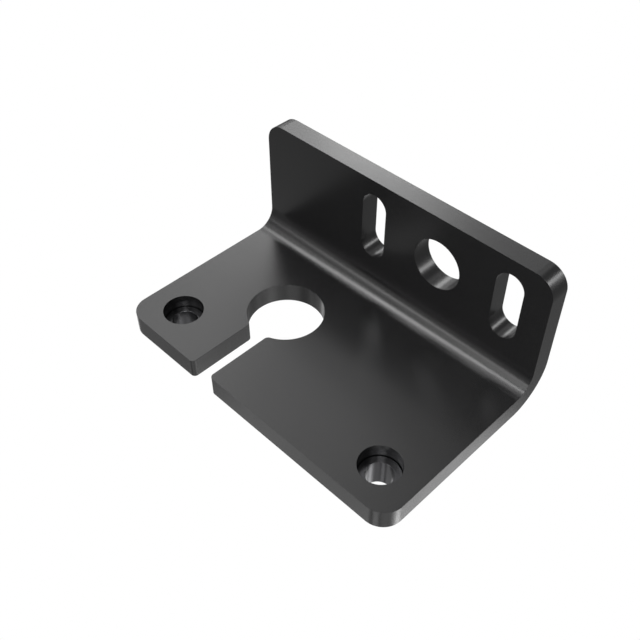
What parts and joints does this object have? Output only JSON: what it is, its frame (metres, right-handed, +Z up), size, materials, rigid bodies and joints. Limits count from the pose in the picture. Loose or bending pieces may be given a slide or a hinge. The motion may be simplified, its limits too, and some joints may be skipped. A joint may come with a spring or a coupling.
{
  "type": "wiring harness bracket",
  "caption": "Folded plate bracket with an open-ended keyhole that holds a wiring harness, clinch nuts in its base and slots in its upright for fixing it.",
  "frame": {"origin": "centre of the upright's round hole, on the upright's back face", "axes": "+X along the fold, to the right seen from the open front edge; +Y out of the upright's back face; +Z up the upright, out of the base's top face"},
  "size_m": [0.0899, 0.057, 0.0449],
  "materials": {
    "black_coat": "satin black coat on steel plate",
    "plated_steel": "plain plated steel"
  },
  "bodies": {
    "root": {"folded_plate": "black_coat", "clinch_nut_left": "plated_steel", "clinch_nut_right": "plated_steel"}
  },
  "joints": []
}
